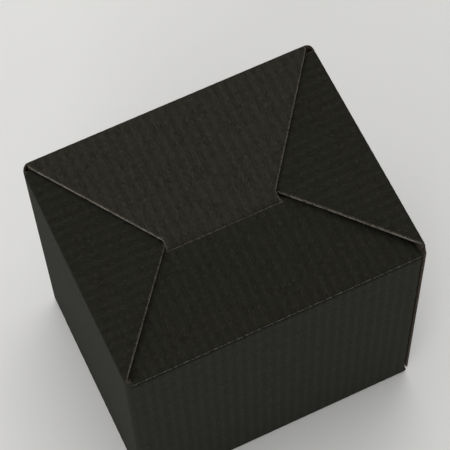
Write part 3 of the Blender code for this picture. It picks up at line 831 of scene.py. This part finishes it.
def make_glue_film(material):
    """A thin, uneven film of dried glue with a wavy outline, between the glue flap and the right wall."""
    low, high = BOX["glue_film"]
    middle = (low + high) / 2.0
    half_y, half_z = (high.y - low.y) / 2.0, (high.z - low.z) / 2.0
    columns, count = 24, 120
    across, up = np.meshgrid(np.linspace(-1.0, 1.0, columns), np.linspace(-1.0, 1.0, count), indexing="ij")
    wobble = 0.93 + 0.05 * np.sin(17.0 * up) + 0.02 * np.sin(41.0 * up + 1.0)
    y = across * half_y * wobble * np.sqrt(np.clip(1.0 - up ** 12, 0.05, 1.0))
    z = up * half_z * (0.985 + 0.01 * np.sin(5.0 * across))
    thick = (0.30 + 0.14 * np.sin(9.0 * across + 6.0 * up) + 0.06 * np.sin(60.0 * up)) * (high.x - low.x)
    points, quads = block(np.arange(columns, dtype=float), np.repeat(np.arange(count)[None, :], columns, 0))
    faces = quads.tolist()
    upper = np.stack([middle.x + thick, middle.y + y, middle.z + z], axis=2).reshape(-1, 3)
    lower = upper * np.array([-1.0, 1.0, 1.0]) + np.array([2.0 * middle.x, 0.0, 0.0])
    total = len(upper)
    every = faces + [[corner + total for corner in reversed(face)] for face in faces]
    every += [[b, a, a + total, b + total] for a, b in sorted(open_edges(faces))]
    mesh = bpy.data.meshes.new("glue_film_bead")
    mesh.from_pydata(np.concatenate([upper, lower]).tolist(), [], every)
    mesh.materials.append(material)
    mesh.shade_smooth()
    bead = bpy.data.objects.new("glue_film_bead", mesh)
    bpy.context.scene.collection.objects.link(bead)
    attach(bead, "walls")
    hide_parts("glue_film")


# --- materials ---

class Nodes:
    """A short way to write a material's node tree."""

    def __init__(self, name, roughness, specular):
        self.material = bpy.data.materials.new(name)
        self.material.use_nodes = True
        self.tree = self.material.node_tree
        self.shader = self.tree.nodes["Principled BSDF"]
        self.shader.inputs["Roughness"].default_value = roughness
        self.shader.inputs["Specular IOR Level"].default_value = specular

    def add(self, kind, inputs=(), **settings):
        node = self.tree.nodes.new("ShaderNode" + kind)
        for key, value in settings.items():
            setattr(node, key, value)
        for key, value in dict(inputs).items():
            self.feed(node.inputs[key], value)
        return node

    def feed(self, socket, value):
        if isinstance(value, bpy.types.NodeSocket):
            self.tree.links.new(value, socket)
        else:
            socket.default_value = value

    def board(self):
        """Board coordinates in millimetres, and their three parts."""
        attribute = self.add("Attribute", attribute_name="board")
        parts = self.add("SeparateXYZ", {"Vector": attribute.outputs["Vector"]})
        return attribute.outputs["Vector"], parts.outputs[0], parts.outputs[1], parts.outputs[2]

    def math(self, operation, first, second=0.0):
        node = self.add("Math", {0: first, 1: second}, operation=operation)
        return node.outputs[0]

    def scaled(self, vector, factors):
        node = self.add("VectorMath", {0: vector, 1: factors}, operation="MULTIPLY")
        return node.outputs[0]

    def noise(self, vector, scale, detail=4.0, roughness=0.55):
        node = self.add("TexNoise", {"Vector": vector, "Scale": scale, "Detail": detail,
                                     "Roughness": roughness})
        return node.outputs["Fac"]

    def ramp(self, value, low, high, low_to=0.0, high_to=1.0):
        node = self.add("MapRange", {"Value": value, "From Min": low, "From Max": high,
                                     "To Min": low_to, "To Max": high_to})
        node.interpolation_type = "SMOOTHSTEP"
        return node.outputs["Result"]

    def mix(self, share, first, second):
        node = self.add("Mix", data_type="RGBA")
        self.feed(node.inputs[0], share)
        self.feed(node.inputs[6], first)
        self.feed(node.inputs[7], second)
        return node.outputs[2]

    def bump(self, height, distance, strength=1.0):
        node = self.add("Bump", {"Height": height, "Distance": distance, "Strength": strength})
        self.tree.links.new(node.outputs["Normal"], self.shader.inputs["Normal"])


def rgba(colour, factor=1.0):
    return (colour[0] * factor, colour[1] * factor, colour[2] * factor, 1.0)


def liner_material(name, colour, crease_wear=0.0, crease_at=-0.10):
    """Black paper: flute streaks, grain, mottling, faint ribs, scuffed creases, worn edges with a painted
    highlight.
    """
    nodes = Nodes(name, 0.85, 0.10)
    board, u, s, edge = nodes.board()
    streaks = nodes.noise(nodes.scaled(board, (1.5, 0.40, 0.0)), 1.0, 4.0, 0.62)
    grain = nodes.noise(nodes.scaled(board, (1.6, 0.60, 0.0)), 1.15, 3.0, 0.6)
    mottle = nodes.noise(nodes.scaled(board, (0.7, 1.0, 0.0)), 0.22, 4.0, 0.6)
    breaks = nodes.noise(nodes.scaled(board, (0.2, 0.22, 0.0)), 1.0, 3.0, 0.6)
    crest = nodes.math("COSINE", nodes.math("MULTIPLY", u, 2.0 * math.pi * MM / PITCH))

    tone = nodes.mix(nodes.ramp(streaks, 0.34, 0.68), rgba(colour, 0.68), rgba(colour, 1.38))
    raised = nodes.math("ADD", crest, nodes.math("MULTIPLY", nodes.math("SUBTRACT", breaks, 0.5), 3.0))
    flecks = nodes.math("MULTIPLY", nodes.ramp(grain, 0.42, 0.74), nodes.ramp(raised, -1.0, 0.9, 0.45, 1.0))
    tone = nodes.mix(flecks, tone, rgba(colour, 2.45))
    tone = nodes.mix(nodes.ramp(mottle, 0.38, 0.66, 0.0, 0.5), tone, rgba(colour, 1.5))
    ribs = nodes.math("MULTIPLY", nodes.ramp(crest, -0.4, 1.0, 0.0, 0.36),
                      nodes.ramp(breaks, 0.38, 0.60, 0.15, 1.0))
    tone = nodes.mix(ribs, tone, rgba(colour, 1.95))

    scuffs = nodes.noise(nodes.scaled(board, (1.8, 0.6, 0.0)), 1.2, 2.0, 0.5)
    scuffs = nodes.ramp(scuffs, 0.64, 0.78, 0.0, 0.60)
    tone = nodes.mix(scuffs, tone, (0.055, 0.050, 0.043, 1.0))

    # Lighter rim along the cut edges: partly worn liner, partly a painted highlight where light catches the
    # crushed rim.
    patches = nodes.noise(nodes.scaled(board, (0.7, 2.0, 0.0)), 0.9, 4.0, 0.7)
    worn_and_highlit_rim = nodes.ramp(edge, 0.55, 0.0, 0.0, 1.0)
    worn_and_highlit_rim = nodes.math("MULTIPLY", worn_and_highlit_rim, nodes.ramp(patches, 0.42, 0.62, 0.10, 0.65))
    tone = nodes.mix(worn_and_highlit_rim, tone, (0.115, 0.102, 0.085, 1.0))

    if crease_wear > 0.0:
        tone = nodes.mix(crease_shadow(nodes, board, s, crease_at), tone, rgba(colour, 0.15))
        worn = nodes.math("MULTIPLY", crease_dashes(nodes, board, s, crest, crease_at), crease_wear)
        tone = nodes.mix(worn, tone, (0.150, 0.142, 0.128, 1.0))

    nodes.feed(nodes.shader.inputs["Base Color"], tone)
    nodes.feed(nodes.shader.inputs["Roughness"], nodes.ramp(streaks, 0.3, 0.7, 0.78, 0.92))
    nodes.bump(nodes.math("ADD", streaks, nodes.math("MULTIPLY", grain, 0.6)), 0.00003)
    return nodes.material


def crease_dashes(nodes, board, s, crest, crease_at):
    """Paper worn through in thin, uneven dashes along a crease, a little longer on the flutes' crests."""
    wobble = nodes.noise(nodes.scaled(board, (0.45, 0.0, 0.0)), 1.0, 4.0, 0.75)
    middle = nodes.math("ADD", nodes.math("MULTIPLY", wobble, 0.90), crease_at - 0.45)
    off = nodes.math("ABSOLUTE", nodes.math("SUBTRACT", s, middle))
    line = nodes.ramp(off, 0.22, 0.04)
    pieces = nodes.noise(nodes.scaled(board, (1.0, 0.25, 0.0)), 1.1, 5.0, 0.75)
    pieces = nodes.math("ADD", pieces, nodes.math("MULTIPLY", crest, 0.02))
    return nodes.math("MULTIPLY", line, nodes.ramp(pieces, 0.43, 0.61, 0.04, 1.0))


def crease_shadow(nodes, board, s, crease_at):
    """The pressed score line is darker just outside the worn line, in broken stretches."""
    off = nodes.math("ABSOLUTE", nodes.math("SUBTRACT", s, crease_at - 0.60))
    breaks = nodes.noise(nodes.scaled(board, (0.8, 0.0, 0.0)), 1.0, 2.0)
    return nodes.math("MULTIPLY", nodes.ramp(off, 0.38, 0.08), nodes.ramp(breaks, 0.35, 0.55, 0.45, 0.95))


def raw_paper_material(name, colour, dark):
    """Undyed paper: the fluting, the glued sides of the liners and their cut edges."""
    nodes = Nodes(name, 0.9, 0.15)
    s = nodes.board()[2]
    place = nodes.add("TexCoord").outputs["Object"]
    fibres = nodes.noise(nodes.scaled(place, (1000.0, 1000.0, 1000.0)), 2.2, 6.0, 0.7)
    shade = nodes.noise(nodes.scaled(place, (1000.0, 1000.0, 1000.0)), 0.55, 4.0, 0.65)
    tone = nodes.mix(nodes.ramp(fibres, 0.35, 0.68), rgba(colour, dark), rgba(colour, 1.15))
    tone = nodes.mix(nodes.ramp(shade, 0.36, 0.62, 0.0, 0.9), rgba(colour, 1.45), tone)
    tone = nodes.mix(nodes.ramp(shade, 0.50, 0.68, 0.0, 0.7), tone, rgba(colour, 0.35))
    # Painted shade: the paper is darker where s is small, next to a flap's crease.
    tone = nodes.mix(nodes.ramp(s, 1.5, 0.5, 0.0, 0.85), tone, rgba(colour, 0.12))
    nodes.feed(nodes.shader.inputs["Base Color"], tone)
    nodes.feed(nodes.shader.inputs["Roughness"], nodes.ramp(fibres, 0.3, 0.7, 0.82, 0.96))
    nodes.bump(fibres, 0.00004)
    return nodes.material


def glue_material():
    """Dried carton glue: yellowish, half glossy, with small bubbles."""
    nodes = Nodes("dried_glue", 0.4, 0.5)
    place = nodes.add("TexCoord").outputs["Object"]
    cloud = nodes.noise(nodes.scaled(place, (1000.0, 1000.0, 1000.0)), 0.6, 3.0)
    bubbles = nodes.noise(nodes.scaled(place, (1000.0, 1000.0, 1000.0)), 2.5, 1.0)
    tone = nodes.mix(nodes.ramp(cloud, 0.35, 0.65), (0.50, 0.45, 0.32, 1.0), (0.62, 0.58, 0.46, 1.0))
    nodes.feed(nodes.shader.inputs["Base Color"], tone)
    nodes.feed(nodes.shader.inputs["Roughness"], nodes.ramp(cloud, 0.3, 0.7, 0.3, 0.5))
    nodes.bump(nodes.ramp(bubbles, 0.5, 0.7), 0.00004)
    return nodes.material


def floor_material():
    nodes = Nodes("pale_floor", 0.7, 0.3)
    place = nodes.add("TexCoord").outputs["Object"]
    cloud = nodes.noise(nodes.scaled(place, (1.0, 1.0, 1.0)), 9.0, 3.0)
    tone = nodes.mix(cloud, (0.76, 0.755, 0.74, 1.0), (0.80, 0.795, 0.78, 1.0))
    nodes.feed(nodes.shader.inputs["Base Color"], tone)
    return nodes.material


def paints():
    """Materials of the plies for each kind of panel: top, glued side and cut faces."""
    light_cut = raw_paper_material("cut_paper", (0.292, 0.267, 0.230), 0.55)
    # A darker copy of the cut paper, for the cut faces of the side, recess and lid flaps.
    plain_cut = raw_paper_material("darker_cut_paper", (0.182, 0.166, 0.144), 0.45)
    # Painted shade: a near-black copy of the cut paper for the walls' cut faces, which lie in shade.
    dark_cut = raw_paper_material("shaded_cut_paper", (0.030, 0.024, 0.018), 0.5)
    flute = raw_paper_material("flute_paper", (0.20, 0.145, 0.10), 0.6)
    reverse = raw_paper_material("liner_reverse", (0.10, 0.075, 0.055), 0.6)
    inside = liner_material("black_inside", (0.032, 0.023, 0.016))

    def paint(outer, slot, cut):
        return {"outer": [outer, reverse, cut], "inner": [inside, reverse, cut],
                "core": [flute, flute, cut], "slot": slot}

    black = (0.0092, 0.0090, 0.0064)
    # The tongue flap's liner is a lighter, browner black than the other flaps'.
    brownish = (0.0150, 0.0136, 0.0100)
    wall = paint(liner_material("black_wall_liner", (0.0140, 0.0145, 0.0110)), "outer_liner", dark_cut)
    # Painted shade: a darker copy of the fluting for the walls and the glue flap, whose raw edges lie in
    # shade.
    dark_flute = raw_paper_material("shaded_flute_paper", (0.062, 0.045, 0.031), 0.6)
    wall["core"] = [dark_flute, dark_flute, dark_flute]
    return {
        "wall": wall,
        "tongue": paint(liner_material("black_tongue_flap_liner", brownish, 0.10), "worn_liner", light_cut),
        "side": paint(liner_material("black_side_flap_liner", black, 0.10), "outer_liner", plain_cut),
        "recess": paint(liner_material("black_recess_flap_liner", black, 1.0), "outer_liner", plain_cut),
        "lid": paint(liner_material("black_lid_liner", black, 0.35), "outer_liner", plain_cut),
    }


# --- stage ---

def add_floor():
    size = 3.0
    mesh = bpy.data.meshes.new("floor")
    corners = [(-size, -size, 0.0), (size, -size, 0.0), (size, size, 0.0), (-size, size, 0.0)]
    mesh.from_pydata(corners, [], [(0, 1, 2, 3)])
    mesh.materials.append(floor_material())
    floor = bpy.data.objects.new("floor", mesh)
    floor.location.z = -0.1 * MM
    bpy.context.scene.collection.objects.link(floor)


def add_area_light(name, location, target, size, power, colour=(1.0, 1.0, 1.0)):
    data = bpy.data.lights.new(name, "AREA")
    data.size = size
    data.energy = power
    data.color = colour
    light = bpy.data.objects.new(name, data)
    light.location = location
    light.rotation_mode = "QUATERNION"
    light.rotation_quaternion = (Vector(target) - Vector(location)).to_track_quat("-Z", "Y")
    bpy.context.scene.collection.objects.link(light)


def add_lights():
    world = bpy.data.worlds.new("studio")
    world.use_nodes = True
    background = world.node_tree.nodes["Background"]
    background.inputs["Color"].default_value = (1.0, 1.0, 1.0, 1.0)
    background.inputs["Strength"].default_value = 0.42
    bpy.context.scene.world = world
    middle = (0.0, 0.0, 0.05)
    add_area_light("overhead_softbox", (0.1, 0.35, 1.3), middle, 1.2, 10.0)
    add_area_light("front_left_softbox", (-0.62, -0.62, 0.55), middle, 0.5, 2.4)


def main():
    add_camera()
    add_floor()
    add_lights()
    bpy.context.scene.view_settings.view_transform = "Standard"
    paint = paints()
    make_walls(paint["wall"])
    make_glue_flap(paint["wall"])
    make_glue_film(glue_material())
    make_tongue_flap(paint["tongue"])
    left = side_flap_line(LEFT_TIP_REACH, LEFT_TIP_BACK, SIDE_CORNER_REACH, LEFT_CORNER_FRONT,
                          LEFT_FREE_REACH)
    right = side_flap_line(RIGHT_TIP_REACH, RIGHT_TIP_BACK, SIDE_CORNER_REACH, RIGHT_CORNER_FRONT,
                           RIGHT_FREE_REACH)
    make_side_flap("left_side_flap", -1.0, left, left_sag, paint["side"])
    make_side_flap("right_side_flap", 1.0, right, right_sag, paint["side"])
    make_recess_flap(paint["recess"])
    make_lid(paint["lid"])
    make_tuck_flap(paint["lid"])
    make_dust_flap("left_dust_flap", -1.0, paint["side"])
    make_dust_flap("right_dust_flap", 1.0, paint["side"])


main()
